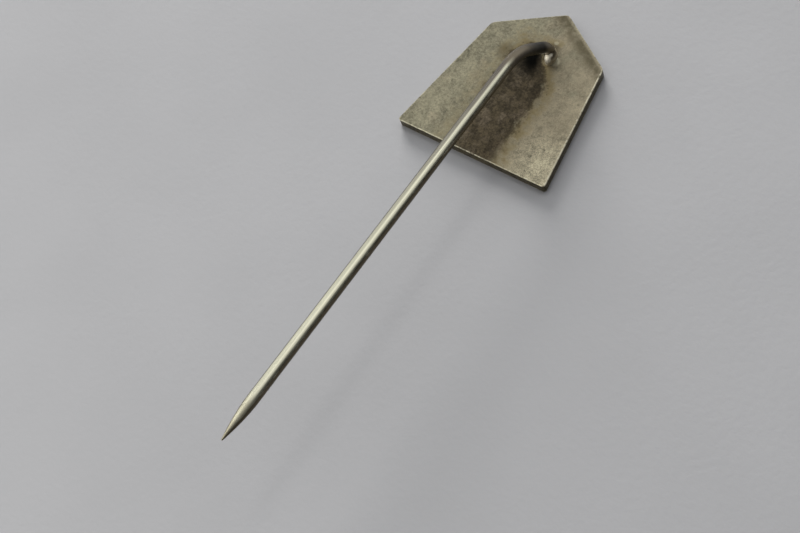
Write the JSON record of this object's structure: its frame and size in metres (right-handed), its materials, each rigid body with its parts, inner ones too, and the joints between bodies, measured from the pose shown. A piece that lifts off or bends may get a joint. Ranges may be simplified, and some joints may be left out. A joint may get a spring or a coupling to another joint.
{
  "type": "lapel stick pin",
  "caption": "Lapel stick pin: a flat five-sided plate with a low peak, and on its back a long bent needle soldered upright that runs out past the straight edge to a sharp point.",
  "frame": {"origin": "the middle of the plate's flat front face, on the plate's middle line and halfway between the straight edge and the peak", "axes": "+Z off the front face through the plate, towards the needle's side; +Y from the straight edge to the peak, against the way the needle points; +X across the plate. The part lies on its front face, as in the picture"},
  "size_m": [0.0174, 0.056, 0.0094],
  "materials": {
    "plate_metal": "tarnished olive-grey back with a dark heat stain, burnished at its cut edges",
    "needle_wire": "drawn white-metal wire, worn bright, dull and dark where it was heated",
    "solder": "grey lumpy solder with dark flux round it"
  },
  "bodies": {
    "root": {"stick_pin": "plate_metal"}
  },
  "joints": []
}
